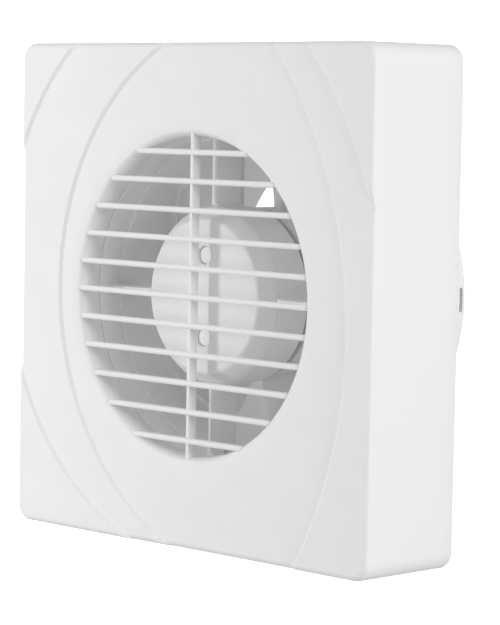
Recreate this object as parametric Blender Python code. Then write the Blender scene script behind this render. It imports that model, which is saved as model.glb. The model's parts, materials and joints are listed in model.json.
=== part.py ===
"""Wall-mounted bathroom extractor fan for a 100 mm duct.

Frame: +Z up, +Y into the wall along the fan's axis, X to the right for someone facing the fan.
The origin is where the fan's axis meets the wall, so the casing stands at negative Y and the duct
spigot at positive Y. Lengths below are in millimetres. A "depth" is measured backwards from the
frontmost plane of the cover.
"""

from math import asin, cos, pi, radians, sin, sqrt

import bmesh
import bpy
from mathutils import Matrix, Vector

MM = 0.001
GAP = 0.3

# Cover
COVER_SIZE = 152.0
COVER_DEPTH = 38.0
COVER_CORNER = 5.4
COVER_EDGE = 1.8
COVER_WALL = 2.2
STEP = 0.9
PANEL_BACK = 3.8
INNER_ARCS = ((25.7, 1.0, 83.2), (-61.6, -7.7, 127.7))
OUTER_ARCS = ((5.3, 7.8, 88.1), (-45.2, -9.7, 127.5))

# Air inlet in the cover
INLET_RADIUS = 52.6
THROAT_RADIUS = 48.1
THROAT_DEPTH = 5.0
COLLAR_RADIUS = 49.9
COLLAR_BACK = 9.8
LOUVRES = 11
LOUVRE_PITCH = 8.67
LOUVRE_THICK = 1.6
LOUVRE_FRONT = 2.5
LOUVRE_BACK = 5.5
MULLION_THICK = 1.2
MULLION_FRONT = 3.0
MULLION_BACK = 6.0
LOUVRE_REACH = 49.2

# Rear housing and spigot
PLATE_THICK = 2.5
PLATE_CLEARANCE = 0.4
DUCT_RADIUS = 47.6
SPIGOT_RADIUS = 49.5
SPIGOT_LENGTH = 32.0
COLLAR_RING_RADIUS = 51.2
COLLAR_RING_WIDTH = 4.5
SEAT_RADIUS = 50.3
SEAT_OUTER = 52.2
SEAT_FRONT = 10.2
SEAT_BACK = 18.1
WALL_HOLE_PITCH = 124.0
WALL_HOLE_RADIUS = 2.6

# Motor carrier and cap
CUP_RADIUS = 27.0
CUP_WALL = 1.4
CUP_FRONT = 13.7
CUP_BACK = 26.3
ARM_FRONT = 12.1
ARM_BACK = 22.8
ARM_THICK = (1.2, 2.2, 1.2, 1.2)
CAP_FACE = 8.6
CAP_FACE_RADIUS = 23.0
CAP_SHOULDER = 13.4
POCKET_HEIGHT = 12.4
POCKET_RADIUS = 2.75

# Motor
SHAFT_RADIUS = 1.5
BORE_RADIUS = 1.8
STACK_FRONT = 16.2
STACK_BACK = 22.0
STATOR_RADIUS = 25.0
STATOR_BORE = 19.6
ROTOR_RADIUS = 10.2
POLES = 4
MOTOR_SCREW_X = 22.0

# Impeller
BLADES = 5
HUB_RADIUS = 26.6
HUB_FRONT = 29.2
HUB_BACK = 44.3
BLADE_TIP = 46.2
BLADE_THICK = 2.1
BLADE_FRONT = 29.9
BLADE_BACK = 43.7
BLADE_PHASE = radians(81.5)
BLADE_TWIST = radians(2.78)

# Gasket and wiring
GASKET_INNER = 53.0
GASKET_OUTER = 60.0
GASKET_DEPTH = 1.2
LID_SCREW = (21.0, 64.0)
CLAMP_SCREWS = ((34.0, 57.8), (34.0, 67.4))
CABLE_ENTRY = (51.0, 60.0)
GROMMET_NECK = 4.6
LEAD_RADIUS = 0.8
LEAD_DEPTH = 24.0

FINE = 64
MEDIUM = 48
SMALL = 16

PLASTIC_WHITE = ("white_plastic", (0.84, 0.84, 0.83), 0.32, 0.0)
PLASTIC_GREY = ("grey_plastic", (0.62, 0.63, 0.64), 0.45, 0.0)
PLASTIC_BLACK = ("black_plastic", (0.03, 0.03, 0.03), 0.5, 0.0)
RUBBER = ("black_rubber", (0.04, 0.04, 0.04), 0.8, 0.0)
FOAM = ("grey_foam", (0.12, 0.12, 0.13), 0.95, 0.0)
STEEL = ("zinc_steel", (0.62, 0.62, 0.6), 0.35, 1.0)
LAMINATION = ("electrical_steel", (0.32, 0.33, 0.35), 0.5, 0.9)
COPPER = ("enamelled_copper", (0.55, 0.22, 0.09), 0.4, 0.8)
BRONZE = ("sintered_bronze", (0.5, 0.35, 0.16), 0.5, 0.9)


def clear_scene():
    """Removes whatever the file opened with."""
    for item in list(bpy.data.objects):
        bpy.data.objects.remove(item, do_unlink=True)


def material(spec):
    """Makes or finds the Principled material of one finish."""
    name, colour, roughness, metallic = spec
    found = bpy.data.materials.get(name)
    if found:
        return found
    made = bpy.data.materials.new(name)
    made.use_nodes = True
    shader = made.node_tree.nodes["Principled BSDF"]
    shader.inputs["Base Color"].default_value = (*colour, 1.0)
    shader.inputs["Roughness"].default_value = roughness
    shader.inputs["Metallic"].default_value = metallic
    made.diffuse_color = (*colour, 1.0)
    return made


def axial(depth):
    """World Y, in metres, of a depth in millimetres behind the cover's front plane."""
    return (depth - COVER_DEPTH) * MM


def place(x, depth, z):
    """World point of a place given in millimetres."""
    return Vector((x * MM, axial(depth), z * MM))


def link(name, bm, spec, smooth=False):
    """Turns a bmesh into a named object with outward faces."""
    bmesh.ops.remove_doubles(bm, verts=bm.verts, dist=1e-6)
    bmesh.ops.recalc_face_normals(bm, faces=bm.faces)
    mesh = bpy.data.meshes.new(name)
    bm.to_mesh(mesh)
    bm.free()
    if smooth:
        mesh.shade_smooth()
        mesh.set_sharp_from_angle(angle=radians(35))
    made = bpy.data.objects.new(name, mesh)
    bpy.context.scene.collection.objects.link(made)
    made.data.materials.append(material(spec))
    return made


def turned(name, profile, spec, sides=FINE, centre=(0.0, 0.0)):
    """Revolves (radius, depth) points round an axis along Y. A profile off the axis is closed into a ring."""
    bm = bmesh.new()
    verts = [bm.verts.new(place(radius, depth, 0.0)) for radius, depth in profile]
    loop = list(zip(verts, verts[1:]))
    if min(radius for radius, _ in profile) > 0.0:
        loop.append((verts[-1], verts[0]))
    edges = [bm.edges.new(pair) for pair in loop]
    bmesh.ops.spin(
        bm,
        geom=verts + edges,
        axis=(0.0, 1.0, 0.0),
        cent=(0.0, 0.0, 0.0),
        angle=2.0 * pi,
        steps=sides,
    )
    shift = Vector((centre[0] * MM, 0.0, centre[1] * MM))
    bmesh.ops.translate(bm, verts=bm.verts, vec=shift)
    return link(name, bm, spec, smooth=True)


def disc_pin(radius, front, back):
    """Profile of a plain round pin."""
    return [(0.0, front), (radius, front), (radius, back), (0.0, back)]


def drill(name, radius, front, back, centre=(0.0, 0.0), sides=SMALL + 3):
    """Round cutter whose facets don't line up with the pins it goes through."""
    return turned(f"tool_{name}", disc_pin(radius, front, back), PLASTIC_WHITE, sides, centre)


def step_drill(name, radii, depths, centre):
    """Round cutter in two diameters: the wide one first, then the narrow one."""
    wide, narrow = radii
    front, middle, back = depths
    profile = [(0.0, front), (wide, front), (wide, middle), (narrow, middle), (narrow, back), (0.0, back)]
    return turned(f"tool_{name}", profile, PLASTIC_WHITE, SMALL + 3, centre)


def sleeve(inner, outer, front, back):
    """Profile of a plain round sleeve."""
    return [(inner, front), (outer, front), (outer, back), (inner, back)]


def prism(name, outline, front, back, spec):
    """Extrudes an (x, z) outline along Y between two depths."""
    bm = bmesh.new()
    face = bm.faces.new([bm.verts.new(place(x, front, z)) for x, z in outline])
    grown = bmesh.ops.extrude_face_region(bm, geom=[face])
    moved = [item for item in grown["geom"] if isinstance(item, bmesh.types.BMVert)]
    bmesh.ops.translate(bm, verts=moved, vec=Vector((0.0, (back - front) * MM, 0.0)))
    return link(name, bm, spec)


def block(name, x_range, depth_range, z_range, spec):
    """A rectangular block between two corners."""
    outline = [
        (x_range[0], z_range[0]),
        (x_range[1], z_range[0]),
        (x_range[1], z_range[1]),
        (x_range[0], z_range[1]),
    ]
    return prism(name, outline, depth_range[0], depth_range[1], spec)


def rod(name, radius, start, end, spec, sides=SMALL):
    """A round bar from one (x, depth, z) place to another."""
    low, high = place(*start), place(*end)
    bm = bmesh.new()
    bmesh.ops.create_cone(
        bm,
        cap_ends=True,
        segments=sides,
        radius1=radius * MM,
        radius2=radius * MM,
        depth=(high - low).length,
    )
    turn = (high - low).to_track_quat("Z", "Y").to_matrix().to_4x4()
    bmesh.ops.transform(bm, matrix=Matrix.Translation((low + high) / 2) @ turn, verts=bm.verts)
    return link(name, bm, spec, smooth=True)


def combine(target, tool, operation):
    """Adds an exact Boolean and keeps its tool out of the finished assembly."""
    step = target.modifiers.new(tool.name, "BOOLEAN")
    step.operation = operation
    step.solver = "EXACT"
    step.object = tool
    tool.hide_render = True
    tool.display_type = "WIRE"


def cut(target, *tools):
    """Subtracts tools from a piece."""
    for tool in tools:
        combine(target, tool, "DIFFERENCE")


def weld(target, *tools):
    """Moulds tools into a piece."""
    for tool in tools:
        combine(target, tool, "UNION")


def rounded_square(half, radius, steps=6):
    """Outline of a square with round corners."""
    points = []
    for quarter in range(4):
        turn = quarter * pi / 2
        for i in range(steps + 1):
            angle = turn + i * pi / 2 / steps
            middle = turn + pi / 4
            reach = (half - radius) * sqrt(2.0)
            points.append((reach * cos(middle) + radius * cos(angle), reach * sin(middle) + radius * sin(angle)))
    return points


def arc_points(arc, z_low, z_high, side, steps=28):
    """Points along the left (side -1) or right (side 1) flank of a circle between two heights."""
    x_centre, z_centre, radius = arc
    first = asin((z_low - z_centre) / radius)
    last = asin((z_high - z_centre) / radius)
    angles = [first + (last - first) * i / steps for i in range(steps + 1)]
    return [(x_centre + side * radius * cos(a), z_centre + radius * sin(a)) for a in angles]


def cover_blank():
    """The cover's box with its rounded front edge, before it is hollowed."""
    bm = bmesh.new()
    half = COVER_SIZE / 2
    rings = []
    steps = 4
    for i in range(steps + 1):
        angle = i * pi / 2 / steps
        inset = COVER_EDGE * (1 - sin(angle))
        depth = COVER_EDGE * (1 - cos(angle))
        outline = rounded_square(half - inset, COVER_CORNER - inset)
        rings.append([bm.verts.new(place(x, depth, z)) for x, z in outline])
    outline = rounded_square(half, COVER_CORNER)
    rings.append([bm.verts.new(place(x, COVER_DEPTH - GAP, z)) for x, z in outline])
    count = len(outline)
    for near, far in zip(rings, rings[1:]):
        for i in range(count):
            bm.faces.new((near[i], near[(i + 1) % count], far[(i + 1) % count], far[i]))
    bm.faces.new(rings[0])
    bm.faces.new(rings[-1])
    return link("front_cover", bm, PLASTIC_WHITE)


def bellmouth_tool():
    """Turned cutter that leaves the rounded inlet lip and the throat."""
    lip = []
    steps = 6
    for i in range(steps + 1):
        angle = i * pi / 2 / steps
        radius = INLET_RADIUS - (INLET_RADIUS - THROAT_RADIUS) * sin(angle)
        depth = 2 * STEP + (THROAT_DEPTH - 2 * STEP) * (1 - cos(angle))
        lip.append((radius, depth))
    profile = [(0.0, -2.0), (INLET_RADIUS, -2.0)] + lip
    profile += [(THROAT_RADIUS, COLLAR_BACK + 2.0), (0.0, COLLAR_BACK + 2.0)]
    return turned("tool_bellmouth", profile, PLASTIC_WHITE)


def louvre(number):
    """One horizontal bar with a blunt rounded front, ending inside the collar's wall."""
    height = ((LOUVRES - 1) / 2 - number) * LOUVRE_PITCH
    half = LOUVRE_THICK / 2
    reach = sqrt(LOUVRE_REACH**2 - height**2)
    section = [
        (LOUVRE_FRONT + 0.45, -half),
        (LOUVRE_BACK, -half * 0.75),
        (LOUVRE_BACK, half * 0.75),
        (LOUVRE_FRONT + 0.45, half),
        (LOUVRE_FRONT, half * 0.4),
        (LOUVRE_FRONT, -half * 0.4),
    ]
    bm = bmesh.new()
    face = bm.faces.new([bm.verts.new(place(-reach, depth, height + z)) for depth, z in section])
    grown = bmesh.ops.extrude_face_region(bm, geom=[face])
    moved = [item for item in grown["geom"] if isinstance(item, bmesh.types.BMVert)]
    bmesh.ops.translate(bm, verts=moved, vec=Vector((2 * reach * MM, 0.0, 0.0)))
    return link(f"tool_louvre_{number + 1}", bm, PLASTIC_WHITE)


def front_cover():
    """Square cover with stepped face, deep skirt, inlet and louvres, all one moulding."""
    cover = cover_blank()
    half = COVER_SIZE / 2
    beyond = half + 6
    inner = half - COVER_WALL
    hollow = prism(
        "tool_hollow",
        rounded_square(inner, COVER_CORNER - COVER_WALL),
        PANEL_BACK,
        COVER_DEPTH + 2,
        PLASTIC_WHITE,
    )
    left, right = INNER_ARCS
    centre = arc_points(left, -beyond, beyond, -1) + arc_points(right, -beyond, beyond, 1)[::-1]
    centre_tool = prism("tool_centre_zone", centre, -2.0, 2 * STEP, PLASTIC_WHITE)
    left, right = OUTER_ARCS
    band = arc_points(left, -beyond + 2, beyond, -1) + arc_points(right, right[1], beyond, 1)[::-1]
    band += [(beyond + 4, right[1]), (beyond + 4, -beyond + 2)]
    band_tool = prism("tool_band_zone", band, -2.0, STEP, PLASTIC_WHITE)
    collar = turned(
        "tool_collar",
        sleeve(THROAT_RADIUS - 1.0, COLLAR_RADIUS, PANEL_BACK - 1.0, COLLAR_BACK),
        PLASTIC_WHITE,
    )
    cut(cover, hollow, band_tool, centre_tool)
    weld(cover, collar)
    cut(cover, bellmouth_tool())
    mullion = block(
        "tool_mullion",
        (-MULLION_THICK / 2, MULLION_THICK / 2),
        (MULLION_FRONT, MULLION_BACK),
        (-LOUVRE_REACH, LOUVRE_REACH),
        PLASTIC_WHITE,
    )
    weld(cover, mullion, *[louvre(number) for number in range(LOUVRES)])
    return cover


def screw(name, x, z, front, length, head, shank, spec=STEEL):
    """A pan-head screw along Y with a slotted head."""
    rise = head * 0.6
    profile = [
        (0.0, front),
        (head * 0.8, front),
        (head, front + rise * 0.4),
        (head, front + rise),
        (shank, front + rise),
        (shank, front + rise + length - shank),
        (0.0, front + rise + length),
    ]
    made = turned(name, profile, spec, SMALL, (x, z))
    slot = block(
        f"tool_slot_{name}",
        (x - head * 1.2, x + head * 1.2),
        (front - 1.0, front + rise * 0.5),
        (z - head * 0.13, z + head * 0.13),
        spec,
    )
    cut(made, slot)
    return made


def rear_housing():
    """Wall plate, motor duct and spigot, one moulding."""
    half = COVER_SIZE / 2 - COVER_WALL - PLATE_CLEARANCE
    plate_front = COVER_DEPTH - PLATE_THICK
    end = COVER_DEPTH + SPIGOT_LENGTH
    duct = turned(
        "rear_housing",
        [
            (SEAT_RADIUS, SEAT_FRONT),
            (SEAT_OUTER, SEAT_FRONT),
            (SEAT_OUTER, SEAT_BACK + 1.7),
            (SPIGOT_RADIUS, SEAT_BACK + 3.6),
            (SPIGOT_RADIUS, end - COLLAR_RING_WIDTH - 1.0),
            (COLLAR_RING_RADIUS, end - COLLAR_RING_WIDTH),
            (COLLAR_RING_RADIUS, end - 0.8),
            (COLLAR_RING_RADIUS - 0.8, end),
            (DUCT_RADIUS, end),
            (DUCT_RADIUS, SEAT_BACK),
            (SEAT_RADIUS, SEAT_BACK),
        ],
        PLASTIC_WHITE,
    )
    plate = prism(
        "tool_plate",
        rounded_square(half, COVER_CORNER - COVER_WALL - 0.3),
        plate_front,
        COVER_DEPTH,
        PLASTIC_WHITE,
    )
    cut(plate, drill("plate_bore", DUCT_RADIUS + 0.9, plate_front - 1, COVER_DEPTH + 1, sides=FINE))
    weld(duct, plate)
    for x in (-44.0, 30.0):
        for side in (-1, 1):
            tongue = block(
                f"tool_tongue_{x:.0f}_{side}",
                (x, x + 14.0),
                (plate_front - 12.0, plate_front + 1.0),
                tuple(sorted((side * (half - 0.1), side * (half - 1.8)))),
                PLASTIC_WHITE,
            )
            weld(duct, tongue)
    boss = turned("tool_lid_boss", disc_pin(3.0, 21.4, plate_front + 1.0), PLASTIC_WHITE, SMALL, LID_SCREW)
    clamp_bosses = [
        turned(f"tool_clamp_boss_{i}", disc_pin(2.8, 29.3, plate_front + 1.0), PLASTIC_WHITE, SMALL, spot)
        for i, spot in enumerate(CLAMP_SCREWS)
    ]
    weld(duct, boss, *clamp_bosses)
    groove = turned(
        "tool_gasket_groove",
        sleeve(GASKET_INNER - GAP, GASKET_OUTER + GAP, COVER_DEPTH - GASKET_DEPTH - GAP, COVER_DEPTH + 1.0),
        PLASTIC_WHITE,
    )
    reach = WALL_HOLE_PITCH / 2
    corners = ((-reach, -reach), (reach, -reach), (reach, reach), (-reach, reach))
    holes = [
        drill(f"wall_hole_{i}", WALL_HOLE_RADIUS, plate_front - 1, COVER_DEPTH + 1, spot)
        for i, spot in enumerate(corners)
    ]
    entry = drill("cable_entry", GROMMET_NECK + GAP, plate_front - 1, COVER_DEPTH + 1, CABLE_ENTRY)
    screw_bores = [drill("lid_bore", 1.7, 20.0, 33.0, LID_SCREW)]
    screw_bores += [drill(f"clamp_bore_{i}", 1.5, 28.0, 36.6, spot) for i, spot in enumerate(CLAMP_SCREWS)]
    lead_hole = rod(
        "tool_lead_hole",
        LEAD_RADIUS + GAP,
        (0.0, LEAD_DEPTH, DUCT_RADIUS - 2),
        (0.0, LEAD_DEPTH, SEAT_OUTER + 1),
        PLASTIC_WHITE,
    )
    tie_slots = [
        block(
            f"tool_tie_slot_{side}",
            tuple(sorted((side * (DUCT_RADIUS - 2), side * (COLLAR_RING_RADIUS + 2)))),
            (end - 2.9, end - 1.5),
            (-3.75, 3.75),
            PLASTIC_WHITE,
        )
        for side in (-1, 1)
    ]
    cut(duct, groove, *holes, entry, *screw_bores, lead_hole, *tie_slots)
    return duct


def wall_gasket():
    """Foam ring in the groove at the back of the wall plate."""
    profile = sleeve(GASKET_INNER, GASKET_OUTER, COVER_DEPTH - GASKET_DEPTH, COVER_DEPTH)
    return turned("wall_gasket", profile, FOAM)


def motor_carrier():
    """Ring, four radial arms and the cup that holds the motor."""
    ring = turned("motor_carrier", sleeve(48.4, SEAT_RADIUS - GAP, SEAT_FRONT + GAP, SEAT_BACK - GAP), PLASTIC_WHITE)
    inside = CUP_RADIUS - CUP_WALL
    floor = CUP_BACK - 1.0
    cup = turned(
        "tool_cup",
        [
            (inside, CUP_FRONT),
            (CUP_RADIUS, CUP_FRONT),
            (CUP_RADIUS, CUP_BACK),
            (6.0, CUP_BACK),
            (6.0, CUP_BACK + 0.6),
            (4.0, CUP_BACK + 0.6),
            (4.0, 23.0),
            (6.0, 23.0),
            (6.0, floor),
            (inside, floor),
        ],
        PLASTIC_WHITE,
        MEDIUM,
    )
    arms = []
    for i, thick in enumerate(ARM_THICK):
        turn = Matrix.Rotation(-i * pi / 2, 4, "Y")
        shape = [
            (CUP_RADIUS - 0.7, CUP_FRONT + 0.2),
            (CUP_RADIUS + 0.6, CUP_FRONT + 0.2),
            (CUP_RADIUS + 0.6, ARM_FRONT),
            (49.2, ARM_FRONT),
            (49.2, SEAT_BACK - 0.6),
            (DUCT_RADIUS - 0.4, SEAT_BACK - 0.6),
            (DUCT_RADIUS - 0.4, ARM_BACK),
            (CUP_RADIUS - 0.7, ARM_BACK),
        ]
        bm = bmesh.new()
        face = bm.faces.new([bm.verts.new(place(r, depth, -thick / 2)) for r, depth in shape])
        grown = bmesh.ops.extrude_face_region(bm, geom=[face])
        moved = [item for item in grown["geom"] if isinstance(item, bmesh.types.BMVert)]
        bmesh.ops.translate(bm, verts=moved, vec=Vector((0.0, 0.0, thick * MM)))
        bmesh.ops.transform(bm, matrix=turn, verts=bm.verts)
        arms.append(link(f"tool_arm_{i}", bm, PLASTIC_WHITE))
    posts = [
        turned(
            f"tool_post_{side}",
            sleeve(1.5, 2.4, 22.4, floor + 0.5),
            PLASTIC_WHITE,
            SMALL,
            (side * MOTOR_SCREW_X, 0.0),
        )
        for side in (-1, 1)
    ]
    weld(ring, cup, *arms, *posts)
    lead_hole = rod(
        "tool_cup_lead_hole",
        LEAD_RADIUS + GAP,
        (0.0, LEAD_DEPTH, inside - 2),
        (0.0, LEAD_DEPTH, CUP_RADIUS + 2),
        PLASTIC_WHITE,
    )
    cut(ring, lead_hole)
    return ring


def motor_cap():
    """Domed cap over the motor with two screw pockets."""
    cap = turned(
        "motor_cap",
        [
            (0.0, CAP_FACE),
            (CAP_FACE_RADIUS, CAP_FACE),
            (CAP_FACE_RADIUS + 0.7, CAP_FACE + 0.4),
            (CUP_RADIUS - 0.4, CAP_SHOULDER - 1.0),
            (CUP_RADIUS, CAP_SHOULDER),
            (25.3, CAP_SHOULDER),
            (25.3, CAP_SHOULDER + 1.5),
            (24.5, CAP_SHOULDER + 1.5),
            (24.5, CAP_SHOULDER - 0.8),
            (22.2, CAP_FACE + 1.5),
            (0.0, CAP_FACE + 1.5),
        ],
        PLASTIC_WHITE,
        MEDIUM,
    )
    for side in (-1, 1):
        spot = (0.0, side * POCKET_HEIGHT)
        boss = turned(f"tool_pocket_boss_{side}", disc_pin(4.2, CAP_FACE + 1.0, 13.0), PLASTIC_WHITE, SMALL, spot)
        weld(cap, boss)
        cut(cap, step_drill(f"pocket_{side}", (POCKET_RADIUS, 1.7), (CAP_FACE - 1, 12.0, 14.0), spot))
    return cap


def cap_fixings():
    """The two screws that hold the cap, each under a push-in plug."""
    for name, side in (("upper", 1), ("lower", -1)):
        height = side * POCKET_HEIGHT
        screw(f"cap_screw_{name}", 0.0, height, 10.5, 2.6, 2.3, 1.3)
        plug = disc_pin(POCKET_RADIUS - 0.15, CAP_FACE + 0.85, CAP_FACE + 1.6)
        turned(f"cap_plug_{name}", plug, PLASTIC_WHITE, SMALL, (0.0, height))


def stator_core():
    """Four-pole lamination stack with two screw holes."""
    ring = turned("stator_core", sleeve(STATOR_BORE, STATOR_RADIUS, STACK_FRONT, STACK_BACK), LAMINATION, MEDIUM)
    for i in range(POLES):
        angle = pi / 4 + i * 2 * pi / POLES
        neck_half = 3.0
        shoe_half = 6.6
        outline = [
            (STATOR_BORE + 1.0, -neck_half),
            (STATOR_BORE + 1.0, neck_half),
            (12.6, neck_half),
            (11.9, shoe_half * 0.62),
            (9.4, shoe_half),
            (8.4, shoe_half),
            (10.62, 2.6),
            (10.9, 0.0),
            (10.62, -2.6),
            (8.4, -shoe_half),
            (9.4, -shoe_half),
            (11.9, -shoe_half * 0.62),
            (12.6, -neck_half),
        ]
        turned_outline = [(u * cos(angle) - v * sin(angle), u * sin(angle) + v * cos(angle)) for u, v in outline]
        weld(ring, prism(f"tool_pole_{i}", turned_outline, STACK_FRONT, STACK_BACK, LAMINATION))
    holes = [
        drill(f"stack_hole_{side}", 1.6, STACK_FRONT - 1, STACK_BACK + 1, (side * MOTOR_SCREW_X, 0.0))
        for side in (-1, 1)
    ]
    cut(ring, *holes)
    return ring


def stator_coils():
    """One wound bobbin round each pole neck."""
    for i in range(POLES):
        angle = pi / 4 + i * 2 * pi / POLES
        bm = bmesh.new()
        front, back = STACK_FRONT - 1.9, STACK_BACK + 1.9
        outer = [(-5.9, front), (5.9, front), (5.9, back), (-5.9, back)]
        inner = [(-3.3, STACK_FRONT - GAP), (3.3, STACK_FRONT - GAP), (3.3, STACK_BACK + GAP), (-3.3, STACK_BACK + GAP)]
        rings = []
        for u, outline in ((13.4, outer), (18.3, outer), (18.3, inner), (13.4, inner)):
            rings.append([bm.verts.new(place(u, depth, v)) for v, depth in outline])
        for near, far in zip(rings, rings[1:] + rings[:1]):
            for k in range(4):
                bm.faces.new((near[k], near[(k + 1) % 4], far[(k + 1) % 4], far[k]))
        bmesh.ops.transform(bm, matrix=Matrix.Rotation(-angle, 4, "Y"), verts=bm.verts)
        link(f"stator_coil_{i + 1}", bm, COPPER)


def motor_frame():
    """Front bearing bridge, its spacers and the two long motor screws."""
    bridge = block("motor_bridge", (-23.9, 23.9), (13.2, 14.2), (-3.4, 3.4), STEEL)
    upright = block("tool_upright", (-3.2, 3.2), (13.2, 14.2), (-15.6, 15.6), STEEL)
    holder = turned("tool_holder", disc_pin(5.0, 11.0, 14.1), STEEL, SMALL)
    weld(bridge, upright, holder)
    cut(bridge, drill("holder_bore", 3.4, 10.0, 15.0))
    for side in (-1, 1):
        cut(bridge, drill(f"cap_thread_{side}", 1.5, 12.0, 15.0, (0.0, side * POCKET_HEIGHT)))
    for name, side in (("left", -1), ("right", 1)):
        x = side * MOTOR_SCREW_X
        cut(bridge, drill(f"bridge_hole_{name}", 1.6, 12.0, 15.0, (x, 0.0)))
        turned(f"bridge_spacer_{name}", sleeve(1.6, 2.3, 14.5, STACK_FRONT - GAP), STEEL, SMALL, (x, 0.0))
        screw(f"motor_screw_{name}", x, 0.0, 11.9, 11.6, 1.7, 1.2)
    turned("front_bearing", sleeve(BORE_RADIUS, 3.1, 11.2, 14.0), BRONZE, SMALL)
    turned("rear_bearing", sleeve(BORE_RADIUS, 3.7, 23.2, 26.6), BRONZE, SMALL)
    block("thermal_cutout", (-3.2, 3.2), (14.7, 15.8), (-20.4, -16.6), PLASTIC_BLACK)


def rotating_parts():
    """Everything that turns with the shaft, each with its origin on the fan's axis."""
    turned("motor_shaft", disc_pin(SHAFT_RADIUS, 10.9, 42.3), STEEL, SMALL)
    turned("rotor_core", sleeve(BORE_RADIUS, ROTOR_RADIUS - 0.2, STACK_FRONT - 0.2, STACK_BACK + 0.2), LAMINATION, MEDIUM)
    turned("thrust_washer_front", sleeve(BORE_RADIUS, 3.4, 14.5, 15.2), BRONZE, SMALL)
    turned("thrust_washer_rear", sleeve(BORE_RADIUS, 3.4, 22.45, 22.95), BRONZE, SMALL)
    nut_outline = [(3.2 * cos(k * pi / 3), 3.2 * sin(k * pi / 3)) for k in range(6)]
    nut = prism("impeller_nut", nut_outline, 39.3, 41.7, STEEL)
    cut(nut, drill("nut_bore", BORE_RADIUS, 38.0, 43.0))
    turned("impeller_washer", sleeve(BORE_RADIUS, 4.4, 38.2, 39.0), STEEL, SMALL)


def blade(number):
    """A twisted blade: the chord's angle round the axis grows evenly with depth."""
    bm = bmesh.new()
    chord_steps, span_steps = 6, 4
    phase = BLADE_PHASE + number * 2 * pi / BLADES
    middle = (BLADE_FRONT + BLADE_BACK) / 2
    sheets = []
    for side in (-1, 1):
        grid = []
        for i in range(span_steps + 1):
            share = i / span_steps
            radius = HUB_RADIUS - 1.0 + (BLADE_TIP - HUB_RADIUS + 1.0) * share
            reach = (BLADE_BACK - BLADE_FRONT) / 2 * (0.84 + 0.16 * sin(pi * (0.15 + 0.7 * share)))
            row = []
            for k in range(chord_steps + 1):
                along = -1 + 2 * k / chord_steps
                thick = BLADE_THICK * (1 - 0.45 * along**2) / 2
                angle = phase + BLADE_TWIST * along * reach + side * thick / radius
                depth = middle + along * reach
                row.append(bm.verts.new(place(radius * cos(angle), depth, radius * sin(angle))))
            grid.append(row)
        sheets.append(grid)
    low, high = sheets
    for i in range(span_steps):
        for k in range(chord_steps):
            for grid in sheets:
                bm.faces.new((grid[i][k], grid[i][k + 1], grid[i + 1][k + 1], grid[i + 1][k]))
    for i in range(span_steps):
        for k in (0, chord_steps):
            bm.faces.new((low[i][k], low[i + 1][k], high[i + 1][k], high[i][k]))
    for k in range(chord_steps):
        for i in (0, span_steps):
            bm.faces.new((low[i][k], low[i][k + 1], high[i][k + 1], high[i][k]))
    return link(f"tool_blade_{number + 1}", bm, PLASTIC_WHITE)


def impeller():
    """Hub with a closed front, an inner boss for the shaft and five blades."""
    wheel = turned(
        "impeller",
        [
            (BORE_RADIUS, HUB_FRONT),
            (HUB_RADIUS - 0.6, HUB_FRONT),
            (HUB_RADIUS, HUB_FRONT + 0.6),
            (HUB_RADIUS, HUB_BACK),
            (HUB_RADIUS - 1.6, HUB_BACK),
            (HUB_RADIUS - 1.6, HUB_FRONT + 1.8),
            (4.6, HUB_FRONT + 1.8),
            (4.2, 37.9),
            (BORE_RADIUS, 37.9),
        ],
        PLASTIC_WHITE,
        MEDIUM,
    )
    weld(wheel, *[blade(number) for number in range(BLADES)])
    return wheel


def wiring():
    """Terminal block, its lid, the cable clamp, the grommet and the motor's lead."""
    block("terminal_block", (-12.0, 12.0), (23.6, 35.2), (57.6, 69.0), PLASTIC_GREY)
    terminals = bpy.data.objects["terminal_block"]
    for name, x in (("live", -6.0), ("neutral", 6.0)):
        cut(terminals, step_drill(f"well_{name}", (2.9, 1.7), (22.0, 26.8, 33.0), (x, 63.3)))
        screw(f"terminal_screw_{name}", x, 63.3, 24.6, 5.5, 2.4, 1.3)
    lid = block("terminal_lid", (-15.0, 27.0), (19.2, 35.2), (54.4, 71.6), PLASTIC_WHITE)
    cut(lid, block("tool_lid_hollow", (-13.6, 25.6), (20.6, 37.0), (55.8, 70.2), PLASTIC_WHITE))
    cut(lid, drill("lid_hole", 1.7, 18.0, 22.0, LID_SCREW))
    cut(lid, block("tool_lid_mouth", (24.0, 28.0), (29.0, 37.0), (60.0, 68.0), PLASTIC_WHITE))
    cut(lid, block("tool_lead_mouth", (-1.6, 1.6), (22.4, 37.0), (53.0, 57.0), PLASTIC_WHITE))
    screw("terminal_lid_screw", *LID_SCREW, 17.5, 9.0, 2.5, 1.35)
    clamp = block("cable_clamp", (31.0, 37.0), (26.4, 28.9), (54.8, 70.6), PLASTIC_WHITE)
    for i, spot in enumerate(CLAMP_SCREWS):
        cut(clamp, drill(f"clamp_hole_{i}", 1.5, 25.0, 31.0, spot))
        screw(f"clamp_screw_{i + 1}", *spot, 24.7, 8.2, 2.2, 1.15)
    neck_front = COVER_DEPTH - PLATE_THICK
    turned(
        "cable_grommet",
        [
            (2.6, neck_front - 3.0),
            (3.6, neck_front - 3.0),
            (6.4, neck_front - 1.6),
            (6.4, neck_front - GAP),
            (GROMMET_NECK, neck_front - GAP),
            (GROMMET_NECK, COVER_DEPTH - 0.2),
            (2.6, COVER_DEPTH - 0.2),
        ],
        RUBBER,
        SMALL,
        CABLE_ENTRY,
    )
    rod("motor_lead", LEAD_RADIUS, (0.0, LEAD_DEPTH, 23.0), (0.0, LEAD_DEPTH, 57.2), PLASTIC_WHITE, 12)


def main():
    clear_scene()
    front_cover()
    rear_housing()
    wall_gasket()
    motor_carrier()
    motor_cap()
    cap_fixings()
    stator_core()
    stator_coils()
    motor_frame()
    rotating_parts()
    impeller()
    wiring()


main()
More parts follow.
